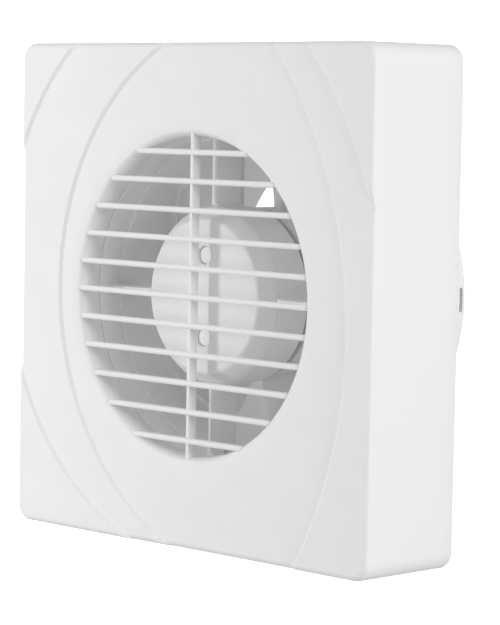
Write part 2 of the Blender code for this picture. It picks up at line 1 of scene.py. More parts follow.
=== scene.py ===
"""Bathroom extractor fan for a 100 mm duct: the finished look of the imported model.

Every new piece is a surface worked out with numpy. A place on the fan is given as (x, depth, z) in
millimetres, where depth runs backwards along the fan's axis from the frontmost plane of the cover.
"""

import json
from math import cos, pi, radians, sin, tau

import bmesh
import bpy
import numpy as np
from mathutils import Matrix, Vector


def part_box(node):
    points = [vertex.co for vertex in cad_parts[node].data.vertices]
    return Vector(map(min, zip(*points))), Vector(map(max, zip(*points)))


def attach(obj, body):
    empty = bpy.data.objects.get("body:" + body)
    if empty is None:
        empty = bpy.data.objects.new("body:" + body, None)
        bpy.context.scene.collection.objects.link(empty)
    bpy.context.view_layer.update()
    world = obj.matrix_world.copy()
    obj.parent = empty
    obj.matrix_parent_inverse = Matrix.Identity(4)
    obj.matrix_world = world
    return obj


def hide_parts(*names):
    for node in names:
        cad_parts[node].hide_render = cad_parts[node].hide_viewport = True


bl_info = {
    "name": "Bathroom extractor fan",
    "version": (1, 0, 0),
    "blender": (4, 5, 0),
    "location": "3D View > Sidebar > Fan",
    "description": "Builds the visible pieces of a wall-mounted bathroom extractor fan",
    "category": "Object",
}

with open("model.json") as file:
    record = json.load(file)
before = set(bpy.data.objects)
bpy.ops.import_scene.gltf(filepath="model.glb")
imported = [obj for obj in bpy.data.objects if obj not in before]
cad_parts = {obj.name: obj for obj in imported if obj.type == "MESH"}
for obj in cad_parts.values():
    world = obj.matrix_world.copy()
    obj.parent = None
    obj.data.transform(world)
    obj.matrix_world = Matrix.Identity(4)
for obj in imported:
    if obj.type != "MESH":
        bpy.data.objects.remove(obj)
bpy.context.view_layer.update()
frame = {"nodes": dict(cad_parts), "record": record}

MM = 0.001
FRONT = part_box("front_cover")[0][1]
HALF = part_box("front_cover")[1][0] / MM
WALL_PLANE = -FRONT / MM
SPIGOT_END = (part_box("rear_housing")[1][1] - FRONT) / MM

# Depths (mm) that several pieces share
CAP_FACE = 8.6
SEAM = 13.5
HUB_FRONT = 29.2
HUB_BACK = 44.3
PLATE_FRONT = WALL_PLANE - 2.5

# Radii (mm) that several pieces share
CUP_RADIUS = 27.0
DUCT_RADIUS = 47.6
BARREL_RADIUS = 49.5
BORE_RADIUS = 1.8
BLADE_ROOT = 25.6
BLADE_TIP = 46.2

# Places (x, z) in mm
POCKET_HEIGHT = 12.4
WALL_HOLE = 62.0
CABLE_ENTRY = (51, 60)
LID_SCREW = (21, 64)
CLAMP_SCREWS = ((34, 57.8), (34, 67.4))

# The camera: its place in metres, then bearing, height and roll in degrees
CAMERA_PLACE = (0.5668, -0.5715, 0.0559)
CAMERA_TURN = (45.24, 4.41, 1.09)

# Circles (x, z, radius) that the stepped face follows
INNER_ARCS = ((25.7, 1.0, 83.2), (-61.6, -7.7, 127.7))
OUTER_ARCS = ((5.3, 7.8, 88.1), (-45.2, -9.7, 127.5))


# ---------------------------------------------------------------- materials


def linear(code):
    """An sRGB hex colour such as "F2F1EE" as linear red, green, blue and alpha."""
    values = [int(code[i : i + 2], 16) / 255 for i in (0, 2, 4)]
    return (*[v / 12.92 if v <= 0.04045 else ((v + 0.055) / 1.055) ** 2.4 for v in values], 1.0)


def add(tree, kind, links=(), **settings):
    """Adds a node, sets its properties or input values by name, and links its inputs from output sockets."""
    node = tree.nodes.new(kind)
    for key, value in settings.items():
        if hasattr(node, key):
            setattr(node, key, value)
        else:
            node.inputs[key.replace("_", " ")].default_value = value
    for target, source in dict(links).items():
        tree.links.new(source, node.inputs[target])
    return node


def begin(name, roughness, metallic=0.0, ior=None, **extra):
    """A new material with its Principled shader, and Object coordinates in metres."""
    made = bpy.data.materials.new(name)
    made.use_nodes = True
    tree = made.node_tree
    shader = tree.nodes["Principled BSDF"]
    shader.inputs["Roughness"].default_value = roughness
    shader.inputs["Metallic"].default_value = metallic
    if ior:
        shader.inputs["IOR"].default_value = ior
    for key, value in extra.items():
        shader.inputs[key.replace("_", " ")].default_value = value
    place = add(tree, "ShaderNodeTexCoord").outputs["Object"]
    return made, tree, shader, place


def vary(tree, shader, place, shades, size_mm, detail=3.0, socket="Base Color"):
    """Colour that drifts between hex shades over patches of a given size."""
    noise = add(tree, "ShaderNodeTexNoise", {"Vector": place}, Scale=1000.0 / size_mm, Detail=detail)
    ramp = add(tree, "ShaderNodeValToRGB", {"Fac": noise.outputs["Fac"]})
    ramp.color_ramp.elements[0].position = 0.3
    ramp.color_ramp.elements[1].position = 0.7
    for element, code in zip(ramp.color_ramp.elements, shades):
        element.color = linear(code)
    tree.links.new(ramp.outputs["Color"], shader.inputs[socket])
    return ramp


def roughen(tree, shader, place, low, high, size_mm):
    """Roughness that wanders between two values over patches of a given size."""
    noise = add(tree, "ShaderNodeTexNoise", {"Vector": place}, Scale=1000.0 / size_mm, Detail=4.0)
    span = add(tree, "ShaderNodeMapRange", {"Value": noise.outputs["Fac"]}, From_Min=0.3, From_Max=0.7)
    span.inputs["To Min"].default_value = low
    span.inputs["To Max"].default_value = high
    tree.links.new(span.outputs["Result"], shader.inputs["Roughness"])


def emboss(tree, shader, height, depth_mm, strength=1.0):
    """Surface relief from a height output that runs from 0 to 1."""
    bump = add(tree, "ShaderNodeBump", {"Height": height}, Strength=strength, Distance=depth_mm * MM)
    tree.links.new(bump.outputs["Normal"], shader.inputs["Normal"])


def moulded_abs_white():
    """ABS, injection moulded against a fine spark-eroded tool: satin white with a faint even grain."""
    made, tree, shader, place = begin("moulded_abs_white", 0.55, ior=1.53)
    vary(tree, shader, place, ("F1F1F1", "F3F3F3"), 60.0)
    roughen(tree, shader, place, 0.52, 0.6, 9.0)
    # Spark grain is about 0.05 mm across; drawn at 0.35 mm so that it shows
    grain = add(tree, "ShaderNodeTexNoise", {"Vector": place}, Scale=1000.0 / 0.35, Detail=2.0)
    emboss(tree, shader, grain.outputs["Fac"], 0.004)
    return made


def moulded_abs_inner():
    """The same ABS off a plainer tool, with flow marks: the motor carrier, its cap and the housing."""
    made, tree, shader, place = begin("moulded_abs_inner", 0.45, ior=1.53)
    flow = add(tree, "ShaderNodeTexNoise", {"Vector": place}, Scale=1000.0 / 40.0, Detail=2.0, Distortion=1.5)
    ramp = add(tree, "ShaderNodeValToRGB", {"Fac": flow.outputs["Fac"]})
    for element, code in zip(ramp.color_ramp.elements, ("F2F2F2", "F5F5F5")):
        element.color = linear(code)
    tree.links.new(ramp.outputs["Color"], shader.inputs["Base Color"])
    roughen(tree, shader, place, 0.42, 0.52, 14.0)
    grain = add(tree, "ShaderNodeTexNoise", {"Vector": place}, Scale=1000.0 / 0.5, Detail=2.0)
    emboss(tree, shader, grain.outputs["Fac"], 0.005)
    return made


def moulded_pp_white():
    """Polypropylene, moulded thin: a waxy, slightly see-through white for the impeller."""
    made, tree, shader, place = begin(
        "moulded_pp_white", 0.42, ior=1.49, Subsurface_Weight=0.15, Subsurface_Scale=0.0015
    )
    vary(tree, shader, place, ("ECECEC", "F0F0F0"), 25.0)
    roughen(tree, shader, place, 0.36, 0.5, 6.0)
    grain = add(tree, "ShaderNodeTexNoise", {"Vector": place}, Scale=1000.0 / 0.8, Detail=3.0)
    emboss(tree, shader, grain.outputs["Fac"], 0.006)
    return made


def moulded_polyamide_grey():
    """Glass-filled polyamide, moulded: matt grey with pale fibre flecks, for the terminal block."""
    made, tree, shader, place = begin("moulded_polyamide_grey", 0.55, ior=1.53)
    vary(tree, shader, place, ("9A9C9D", "A6A8A9"), 2.0, 6.0)
    fleck = add(tree, "ShaderNodeTexVoronoi", {"Vector": place}, Scale=1000.0 / 0.5)
    emboss(tree, shader, fleck.outputs["Distance"], 0.01)
    return made


def extruded_pvc_white():
    """PVC sheath, extruded: soft white with fine lengthwise die lines."""
    made, tree, shader, place = begin("extruded_pvc_white", 0.42, ior=1.54)
    vary(tree, shader, place, ("E9E9E6", "EFEFEC"), 8.0)
    lines = add(tree, "ShaderNodeTexWave", {"Vector": place}, Scale=1000.0 / 0.25 / 20, Distortion=0.4)
    emboss(tree, shader, lines.outputs["Fac"], 0.005)
    return made


def moulded_pvc_black():
    """PVC, moulded: near-black with a dull sheen, for the thermal cut-out."""
    made, tree, shader, place = begin("moulded_pvc_black", 0.5, ior=1.54)
    vary(tree, shader, place, ("141414", "1C1C1C"), 3.0)
    grain = add(tree, "ShaderNodeTexNoise", {"Vector": place}, Scale=1000.0 / 0.4)
    emboss(tree, shader, grain.outputs["Fac"], 0.008)
    return made


def moulded_epdm_black():
    """EPDM rubber, compression moulded: dark, soft and dusty, with a pebbled skin."""
    made, tree, shader, place = begin("moulded_epdm_black", 0.78, ior=1.5)
    vary(tree, shader, place, ("1A1A1A", "2A2A29"), 1.6, 6.0)
    pebble = add(tree, "ShaderNodeTexVoronoi", {"Vector": place}, Scale=1000.0 / 0.4)
    emboss(tree, shader, pebble.outputs["Distance"], 0.02)
    return made


def sliced_pe_foam():
    """Closed-cell polyethylene foam, sliced and die cut: charcoal, with open half cells at the surface, their
    hollows darkened with painted shade.
    """
    made, tree, shader, place = begin("sliced_pe_foam", 0.92, ior=1.5)
    cells = add(tree, "ShaderNodeTexVoronoi", {"Vector": place}, Scale=1000.0 / 0.7)
    # Painted shade: the colour is darkest in the middle of each cell, where the bump makes a hollow, and
    # lighter towards its rim
    ramp = add(tree, "ShaderNodeValToRGB", {"Fac": cells.outputs["Distance"]})
    for element, code in zip(ramp.color_ramp.elements, ("2B2B2D", "4A4A4C")):
        element.color = linear(code)
    tree.links.new(ramp.outputs["Color"], shader.inputs["Base Color"])
    emboss(tree, shader, cells.outputs["Distance"], 0.15)
    return made


def plated_steel():
    """Steel, cold headed and bright zinc plated: silvery, clouded in patches, with drawing marks."""
    made, tree, shader, place = begin("plated_steel", 0.3, metallic=1.0)
    vary(tree, shader, place, ("B4B6B8", "CBCCCB"), 1.2, 4.0)
    roughen(tree, shader, place, 0.2, 0.42, 0.8)
    marks = add(tree, "ShaderNodeTexNoise", {"Vector": place}, Scale=1000.0 / 0.3, Detail=5.0)
    emboss(tree, shader, marks.outputs["Fac"], 0.01)
    return made


def varnished_laminations():
    """Silicon steel sheets 0.5 mm thick, stamped, stacked along the axis and dipped in varnish."""
    made, tree, shader, place = begin("varnished_laminations", 0.45, metallic=0.85)
    vary(tree, shader, place, ("54575B", "6A6C6E"), 3.0)
    # A Wave texture repeats every 2 pi / 20 units, so this scale gives one sheet each 0.5 mm
    sheets = add(
        tree, "ShaderNodeTexWave", {"Vector": place}, Scale=tau / 20 * 1000.0 / 0.5, bands_direction="Y"
    )
    emboss(tree, shader, sheets.outputs["Fac"], 0.08)
    return made


def enamelled_copper():
    """Copper wire 0.25 mm thick, drawn, enamelled and wound in layers: amber over a metal core."""
    made, tree, shader, place = begin("enamelled_copper", 0.32, metallic=0.85, Coat_Weight=0.5)
    vary(tree, shader, place, ("8E4A22", "B06A34"), 0.9)
    turns = add(
        tree,
        "ShaderNodeTexWave",
        {"Vector": place},
        Scale=tau / 20 * 1000.0 / 0.35,
        bands_direction="DIAGONAL",
        Distortion=0.6,
    )
    emboss(tree, shader, turns.outputs["Fac"], 0.1)
    return made


def sintered_bronze():
    """Bronze powder, pressed and sintered, then soaked in oil: brown-gold and finely porous."""
    made, tree, shader, place = begin("sintered_bronze", 0.4, metallic=0.95)
    vary(tree, shader, place, ("7A5A2C", "98743C"), 0.5, 5.0)
    pores = add(tree, "ShaderNodeTexVoronoi", {"Vector": place}, Scale=1000.0 / 0.2)
    emboss(tree, shader, pores.outputs["Distance"], 0.02)
    return made


def studio_floor():
    """Matt seamless paper: pale and even, with a barely visible fibre."""
    made, tree, shader, place = begin("studio_paper", 0.95, ior=1.3)
    vary(tree, shader, place, ("FBFBFB", "FDFDFD"), 90.0)
    shader.inputs["Emission Color"].default_value = linear("FFFFFF")
    shader.inputs["Emission Strength"].default_value = 1.0
    return made


FINISHES = {}


def finish(maker):
    """The one shared material of a finish."""
    if maker.__name__ not in FINISHES:
        FINISHES[maker.__name__] = maker()
    return FINISHES[maker.__name__]


# ------------------------------------------------------------------ surfaces


def place_mm(x, depth, z):
    """World points of arrays given in millimetres."""
    x, depth, z = np.broadcast_arrays(x, depth, z)
    return np.stack([x * MM, FRONT + depth * MM, z * MM], axis=-1)


def quads(rows, columns, wrap_rows, wrap_columns, start=0):
    """Corner numbers of the faces of a grid, closed round either way."""
    i = np.arange(rows if wrap_rows else rows - 1)
    k = np.arange(columns if wrap_columns else columns - 1)
    i, k = np.meshgrid(i, k, indexing="ij")
    ahead_i, ahead_k = (i + 1) % rows, (k + 1) % columns
    corners = [i * columns + k, i * columns + ahead_k, ahead_i * columns + ahead_k, ahead_i * columns + k]
    return np.stack(corners, axis=-1).reshape(-1, 4) + start


def piece(name, patches, maker, body, sharp=35.0, stands_for=()):
    """Joins (points, wrap_rows, wrap_columns) grids into one object that rides on a body.

    Poles and seams are merged and the faces turned outwards before the edges are marked.
    """
    points, faces, start = [], [], 0
    for grid, wrap_rows, wrap_columns in patches:
        rows, columns = grid.shape[:2]
        points.append(grid.reshape(-1, 3))
        faces.append(quads(rows, columns, wrap_rows, wrap_columns, start))
        start += rows * columns
    points, faces = np.concatenate(points), np.concatenate(faces)
    mesh = bpy.data.meshes.new(name)
    mesh.from_pydata(points.tolist(), [], faces.tolist())
    bm = bmesh.new()
    bm.from_mesh(mesh)
    bmesh.ops.remove_doubles(bm, verts=bm.verts, dist=2e-7)
    bmesh.ops.recalc_face_normals(bm, faces=bm.faces)
    bm.to_mesh(mesh)
    bm.free()
    mesh.shade_smooth()
    mesh.set_sharp_from_angle(angle=radians(sharp))
    made = bpy.data.objects.new(name, mesh)
    bpy.context.scene.collection.objects.link(made)
    made.data.materials.append(finish(maker))
    if body:
        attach(made, body)
    if stands_for:
        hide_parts(*stands_for)
    return made


def tool(*patches):
    """A closed shape to be cut out of a piece."""
    return piece("tool", patches, moulded_abs_inner, None)


def carve(target, *tools):
    """Cuts tools out of a piece at once and throws them away."""
    for cutter in tools:
        step = target.modifiers.new("carve", "BOOLEAN")
        step.operation = "DIFFERENCE"
        step.solver = "EXACT"
        step.object = cutter
    shaped = bpy.data.meshes.new_from_object(target.evaluated_get(bpy.context.evaluated_depsgraph_get()))
    target.modifiers.clear()
    old = target.data
    target.data = shaped
    shaped.name = old.name
    bpy.data.meshes.remove(old)
    for cutter in tools:
        bpy.data.objects.remove(cutter, do_unlink=True)
    target.data.shade_smooth()
    target.data.set_sharp_from_angle(angle=radians(35))


def soften(outline, radius, steps=5, closed=True):
    """Rounds the corners of a polyline: each becomes a quadratic curve between its two tangent points.

    radius is one number or one for each corner; it is cut back to 45% of the shorter side.
    """
    points = np.asarray(outline, dtype=float)
    radii = np.broadcast_to(np.asarray(radius, dtype=float), (len(points),))
    before, after = np.roll(points, 1, 0) - points, np.roll(points, -1, 0) - points
    long_before = np.linalg.norm(before, axis=1)
    long_after = np.linalg.norm(after, axis=1)
    back = np.minimum(radii, 0.45 * np.minimum(long_before, long_after))
    if not closed:
        back = back.copy()
        back[[0, -1]] = 0.0
    start = points + before / long_before[:, None] * back[:, None]
    end = points + after / long_after[:, None] * back[:, None]
    t = np.linspace(0, 1, steps)[None, :, None]
    curve = (1 - t) ** 2 * start[:, None] + 2 * t * (1 - t) * points[:, None] + t**2 * end[:, None]
    flat = curve.reshape(-1, 2)
    keep = np.ones(len(flat), dtype=bool)
    keep[1:] = np.linalg.norm(np.diff(flat, axis=0), axis=1) > 1e-6
    return flat[keep]


def turned(profile, sides=128, centre=(0.0, 0.0), closed=True):
    """A profile of (radius, depth) carried round a line parallel to the fan's axis.

    x = cx + r cos a and z = cz + r sin a, with a from 0 to a full turn.
    """
    angle = np.linspace(0, tau, sides, endpoint=False)[:, None]
    radius, depth = np.asarray(profile, dtype=float).T
    points = place_mm(centre[0] + radius * np.cos(angle), depth, centre[1] + radius * np.sin(angle))
    return points, True, closed


def loft(sections):
    """Closed cross-sections, given as an array (section, point, xyz), joined in order.

    The two ends are capped by drawing the last sections to their middles.
    """
    first, last = sections[0].mean(0, keepdims=True), sections[-1].mean(0, keepdims=True)
    count = sections.shape[1]
    capped = np.concatenate([np.repeat(first, count, 0)[None], sections, np.repeat(last, count, 0)[None]])
    return capped, False, True


def slab(x_range, depth_range, z_range, radius=0.5, along="x"):
    """A block with rounded edges: a rounded rectangle carried along one axis.

    At both ends it is drawn in over the radius, as a quarter circle is.
    """
    ranges = {"x": x_range, "y": depth_range, "z": z_range}
    others = [axis for axis in "xyz" if axis != along]
    (u0, u1), (v0, v1) = ranges[others[0]], ranges[others[1]]
    w0, w1 = ranges[along]
    t = np.linspace(0, pi / 2, 5)
    inset = np.concatenate([radius * (1 - np.sin(t)), radius * (1 - np.sin(t))[::-1]])
    station = np.concatenate([w0 + radius * (1 - np.cos(t)), w1 - radius * (1 - np.cos(t))[::-1]])
    sections = []
    for pull, w in zip(inset, station):
        inner = radius - pull + 1e-3
        outline = soften(
            [(u0 + pull, v0 + pull), (u1 - pull, v0 + pull), (u1 - pull, v1 - pull), (u0 + pull, v1 - pull)],
            max(inner, 0.02),
        )
        sections.append(np.column_stack([outline, np.full(len(outline), w)]))
    sections = np.array(sections)
    order = {others[0]: 0, others[1]: 1, along: 2}
    x, y, z = (sections[..., order[axis]] for axis in "xyz")
    return loft(place_mm(x, y, z))


def spin_about_axis(patch, angle):
    """The same patch turned about the fan's axis."""
    points, wrap_rows, wrap_columns = patch
    x, z = points[..., 0], points[..., 2]
    turned_points = points.copy()
    turned_points[..., 0] = x * cos(angle) - z * sin(angle)
    turned_points[..., 2] = x * sin(angle) + z * cos(angle)
    return turned_points, wrap_rows, wrap_columns


# --------------------------------------------------------------------- cover


def ease(value):
    """0 to 1 with level ends: 3 t squared less 2 t cubed."""
    t = np.clip(value, 0.0, 1.0)
    return t * t * (3 - 2 * t)


def inside(arc, x, z):
    """How far a point lies inside a circle."""
    return arc[2] - np.hypot(x - arc[0], z - arc[1])


def face_depth(x, z, rise, width):
    """Depth of the cover's face: one eased step down inside the inner arcs and one inside the outer arcs."""
    inner = np.minimum(inside(INNER_ARCS[0], x, z), inside(INNER_ARCS[1], x, z))
    outer = np.full_like(inner, 99.0)
    outer = np.where(x < 0, inside(OUTER_ARCS[0], x, z), outer)
    outer = np.where((x > 0) & (z > 0), inside(OUTER_ARCS[1], x, z), outer)
    return rise * (ease(inner / width + 0.5) + ease(outer / width + 0.5))


def ray_to_circle(arc, cosine, sine):
    """Distance from the axis to a circle round it, along a direction."""
    along = arc[0] * cosine + arc[1] * sine
    return along + np.sqrt(arc[2] ** 2 - arc[0] ** 2 - arc[1] ** 2 + along**2)


def ray_to_square(half, corner, cosine, sine):
    """Distance from the axis to the outline of a square with round corners, along a direction."""
    c, s = np.abs(cosine), np.abs(sine)
    flat = half / np.maximum(c, s)
    middle = half - corner
    along = middle * (c + s)
    root = np.sqrt(np.maximum(along**2 - (2 * middle**2 - corner**2), 0.0))
    in_corner = np.minimum(c, s) * flat > middle
    return np.where(in_corner, along + root, flat)


def cover_angles(half, corner, side_steps=168, corner_steps=22):
    """Directions round the axis: even along each side, and even round each corner's own curve."""
    middle = half - corner
    flat = np.linspace(-np.arctan2(middle, half), np.arctan2(middle, half), side_steps)
    turn = np.linspace(0, pi / 2, corner_steps + 1)[1:]
    bend = np.arctan2(middle + corner * np.sin(turn), middle + corner * np.cos(turn))
    quarter = np.concatenate([flat, bend[:-1]])
    return np.concatenate([quarter + k * pi / 2 for k in range(4)])


def cover_shell(sizes):
    """The whole cover as one closed surface of (direction round the axis, place along the section).

    The section runs up the throat, over the bell-shaped lip, across the stepped face, round the front
    edge, down the skirt and back inside to the collar. Its rows crowd together where the arcs are.
    """
    half, corner = HALF, sizes.corner_radius / MM
    edge, wall = sizes.edge_radius / MM, sizes.wall / MM
    rise, width = sizes.step / MM, sizes.step_width / MM
    lip, throat = sizes.inlet_radius / MM, sizes.throat_radius / MM
    angle = cover_angles(half, corner)[:, None]
    c, s = np.cos(angle), np.sin(angle)

    def depth_of(radius):
        return face_depth(radius * c, radius * s, rise, width)

    def even(start, stop, count):
        return start + (stop - start) * np.linspace(0, 1, count + 2)[None, 1:-1]

    inner_ray = np.where(c < 0, ray_to_circle(INNER_ARCS[0], c, s), ray_to_circle(INNER_ARCS[1], c, s))
    outer_ray = np.where(c < 0, ray_to_circle(OUTER_ARCS[0], c, s), 150.0)
    outer_ray = np.where((c > 0) & (s > 0), ray_to_circle(OUTER_ARCS[1], c, s), outer_ray)
    limit = ray_to_square(half - edge, corner - edge, c, s)
    spread = np.linspace(-1.25, 1.25, 13)[None] * width / 2
    first, second = inner_ray + spread, np.maximum(outer_ray, inner_ray + 2) + spread
    rows = np.concatenate(
        [
            even(lip, first[:, :1], 7),
            first,
            even(first[:, -1:], second[:, :1], 5),
            second,
            even(second[:, -1:], np.maximum(limit, second[:, -1:] + 1), 5),
        ],
        axis=1,
    )
    ceiling = limit - 0.03 * np.arange(rows.shape[1], 0, -1)[None]
    rows = np.minimum(rows, ceiling)

    # Lip: a shallow cone in from the face, then a tight round into the throat
    level = 2 * rise
    corners = [
        (throat, sizes.lip_depth / MM),
        (throat + 0.25, 4.2),
        (throat + 1.3, level + 0.6),
        (lip, level),
    ]
    rolled = soften(corners, [0, 1.0, 0.9, 0], 7, closed=False)
    lip_r = rolled[None, :, 0] + 0 * angle
    lip_d = rolled[None, :, 1] + 0 * angle

    # Front edge: a quarter circle, added to whatever level the face has there
    bend = np.linspace(0, pi / 2, 9)[None]
    inset = edge * (1 - np.sin(bend))
    edge_r = ray_to_square(half - inset, corner - inset + 1e-6, c, s)
    edge_d = depth_of(edge_r) + edge * (1 - np.cos(bend))

    skirt = WALL_PLANE - 0.3
    share = np.linspace(0, 1, 6)[None, 1:]
    side_r = ray_to_square(half, corner, c, s) + 0 * share
    side_d = edge_d[:, -1:] + (skirt - 0.4 - edge_d[:, -1:]) * share

    inner_half = half - wall
    back = []
    for shrink, depth in (
        (0.12, skirt - 0.12),
        (0.4, skirt),
        (wall - 0.4, skirt),
        (wall - 0.12, skirt - 0.12),
    ):
        back.append((ray_to_square(half - shrink, corner - shrink, c, s), depth))
    for shrink, depth in (
        (wall, skirt - 0.4),
        (wall, 20.0),
        (wall, 5.2),
        (wall + 0.35, 4.15),
        (wall + 1.4, 3.8),
    ):
        back.append((ray_to_square(half - shrink, max(corner - shrink, 0.8), c, s), depth))
    inner = inner_half - 1.4
    panel = ray_to_square(inner, 0.8, c, s)
    collar = sizes.collar_radius / MM
    for part in (0.6, 0.25):
        back.append((collar + 0.6 + (panel - collar - 0.6) * part, 3.8))
    for radius, depth in (
        (collar + 0.6, 3.8),
        (collar + 0.15, 3.95),
        (collar, 4.4),
        (collar, 9.5),
        (collar - 0.3, 9.8),
        (throat + 0.6, 9.8),
        (throat + 0.33, 9.55),
        (throat + 0.25, 9.0),
        (throat + 0.12, 7.4),
    ):
        back.append((radius, depth))
    back_r = np.concatenate([r + 0 * angle for r, _ in back], axis=1)
    back_d = np.concatenate([d + 0 * angle for _, d in back], axis=1)

    radius = np.concatenate([lip_r, rows, edge_r, side_r, back_r], axis=1)
    depth = np.concatenate([lip_d, depth_of(rows), edge_d, side_d, back_d], axis=1)
    return place_mm(radius * c, depth, radius * s), True, True


def louvre(height, reach, front, back, thick):
    """A horizontal bar with a half-round front, slightly drafted sides and a blunt tail, carried along x.

    Over the last part of each end the front falls back and the bar thins as a quarter circle does.
    """
    tip = 1.3
    t = np.linspace(-pi / 2, pi / 2, 11)
    half = thick / 2
    bend = np.sin(np.linspace(0, pi / 2, 7))
    middle = [-reach / 2, 0, reach / 2]
    x = np.concatenate([-reach + tip * (1 - bend[::-1]), middle, reach - tip * (1 - bend)])
    x = np.sort(np.unique(np.round(x, 5)))
    share = np.clip((np.abs(x) - reach + tip) / tip, 0, 1)
    round_off = np.sqrt(1 - share**2)[:, None]
    start = front + 1.1 * (1 - round_off)
    width = half * (0.35 + 0.65 * round_off)
    nose = start + half * 0.85 * (1 - np.cos(t)[None])
    depth = np.concatenate([nose, back + 0 * start, back + 0 * start], axis=1)
    across = np.concatenate([width * np.sin(t)[None], width * 0.8, -width * 0.8], axis=1)
    return loft(place_mm(x[:, None], depth, height + across))


class FanSizes(bpy.types.PropertyGroup):
    """Sizes of the cover that can be changed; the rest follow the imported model."""

    corner_radius: bpy.props.FloatProperty(
        name="Corner radius", description="Radius of the cover's outline", default=0.0054, unit="LENGTH"
    )
    edge_radius: bpy.props.FloatProperty(
        name="Edge radius", description="Rounding of the cover's front edge", default=0.0018, unit="LENGTH"
    )
    wall: bpy.props.FloatProperty(
        name="Wall", description="Thickness of the cover's skirt", default=0.0022, unit="LENGTH"
    )
    step: bpy.props.FloatProperty(
        name="Step", description="Height of each step in the face", default=0.0009, unit="LENGTH"
    )
    step_width: bpy.props.FloatProperty(
        name="Step width", description="Width over which a step runs out", default=0.0014, unit="LENGTH"
    )
    inlet_radius: bpy.props.FloatProperty(
        name="Inlet radius", description="Outer radius of the bell-shaped lip", default=0.0526, unit="LENGTH"
    )
    throat_radius: bpy.props.FloatProperty(
        name="Throat radius", description="Radius inside the lip", default=0.0481, unit="LENGTH"
    )
    lip_depth: bpy.props.FloatProperty(
        name="Lip depth",
        description="Depth at which the lip becomes the throat",
        default=0.006,
        unit="LENGTH",
    )
    collar_radius: bpy.props.FloatProperty(
        name="Collar radius",
        description="Outside radius of the collar behind the face",
        default=0.0499,
        unit="LENGTH",
    )
    louvre_pitch: bpy.props.FloatProperty(
        name="Louvre pitch", description="Distance from bar to bar", default=0.00867, unit="LENGTH"
    )
    louvre_thickness: bpy.props.FloatProperty(
        name="Louvre thickness", description="Thickness of a bar", default=0.00178, unit="LENGTH"
    )
    louvres: bpy.props.IntProperty(name="Louvres", description="Number of horizontal bars", default=11)
    blades: bpy.props.IntProperty(name="Blades", description="Number of impeller blades", default=5)
    blade_twist: bpy.props.FloatProperty(
        name="Blade twist",
        description="Turn of a blade round the axis over its whole depth",
        default=radians(38.4),
        subtype="ANGLE",
    )


class FanLook(bpy.types.PropertyGroup):
    """Lights and camera of the studio."""

    backdrop: bpy.props.FloatVectorProperty(
        name="Backdrop",
        description="Colour behind the fan",
        default=linear("FFFFFF")[:3],
        subtype="COLOR",
        size=3,
        min=0.0,
        max=1.0,
    )
    key_power: bpy.props.FloatProperty(name="Key light", description="Power in watts", default=1.7)
    fill_power: bpy.props.FloatProperty(name="Fill light", description="Power in watts", default=9.5)
    room: bpy.props.FloatProperty(name="Room light", description="Strength of the even light", default=0.67)
    lens: bpy.props.FloatProperty(name="Lens", description="Focal length in millimetres", default=150.4)


class FAN_OT_cover(bpy.types.Operator):
    """Moulded cover with its stepped face, lip, collar and skirt"""

    bl_idname = "fan.cover"
    bl_label = "Cover"

    def execute(self, context):
        sizes = context.scene.fan_sizes
        piece("cover_shell", [cover_shell(sizes)], moulded_abs_white, "cover", 50.0, ("front_cover",))
        return {"FINISHED"}


class FAN_OT_grille(bpy.types.Operator):
    """Horizontal louvres and the upright bar behind them, moulded in one with the cover"""

    bl_idname = "fan.grille"
    bl_label = "Grille"

    def execute(self, context):
        sizes = context.scene.fan_sizes
        pitch, thick = sizes.louvre_pitch / MM, sizes.louvre_thickness / MM
        throat = sizes.throat_radius / MM
        bars = []
        for number in range(sizes.louvres):
            height = ((sizes.louvres - 1) / 2 - number) * pitch
            reach = np.sqrt((throat + 1.5) ** 2 - height**2)
            bars.append(louvre(height, reach, 1.95, 5.0, thick))
        bars.append(slab((-0.6, 0.6), (2.85, 6.0), (-throat - 1.5, throat + 1.5), 0.22, "z"))
        piece("grille_bars", bars, moulded_abs_white, "cover", 50.0, ("front_cover",))
        return {"FINISHED"}


class FAN_OT_motor_cap(bpy.types.Operator):
    """Cap over the motor, with two screw pockets, their plugs and the small centre mark"""

    bl_idname = "fan.motor_cap"
    bl_label = "Motor cap"

    def execute(self, context):
        inner_face = CAP_FACE + 1.5
        profile = soften(
            [
                (0, CAP_FACE),
                (23.2, CAP_FACE),
                (26.5, 12.2),
                (CUP_RADIUS, SEAM),
                (25.3, SEAM),
                (25.3, 14.9),
                (24.5, 14.9),
                (22.2, inner_face),
                (0, inner_face),
            ],
            [0, 0.8, 1.0, 0.1, 0.1, 0.2, 0.2, 1.0, 0],
            6,
            closed=False,
        )
        cap = piece("cap_shell", [turned(profile, 160, closed=False)], moulded_abs_white, "housing")
        tools = []
        for side in (-1, 1):
            mouth = [(0, 5.0), (3.4, 5.0), (3.4, 8.2), (2.75, 8.95), (2.7, 12.4), (0, 12.4)]
            tools.append(tool(turned(mouth, 48, (0.0, side * POCKET_HEIGHT), False)))
        dimple = [(0, 8.0), (0.75, 8.0), (0.45, 8.75), (0, 8.95)]
        tools.append(tool(turned(dimple, 24, closed=False)))
        carve(cap, *tools)
        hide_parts("motor_cap")
        for name, side in (("upper", 1), ("lower", -1)):
            disc = [(0, 9.4), (2.62, 9.4), (2.62, 10.2), (0, 10.2)]
            plug = soften(disc, [0, 0.25, 0.05, 0], 5, closed=False)
            grid = turned(plug, 48, (0.0, side * POCKET_HEIGHT), False)
            piece(f"cap_plug_face_{name}", [grid], moulded_abs_inner, "housing", 35.0, (f"cap_plug_{name}",))
        return {"FINISHED"}


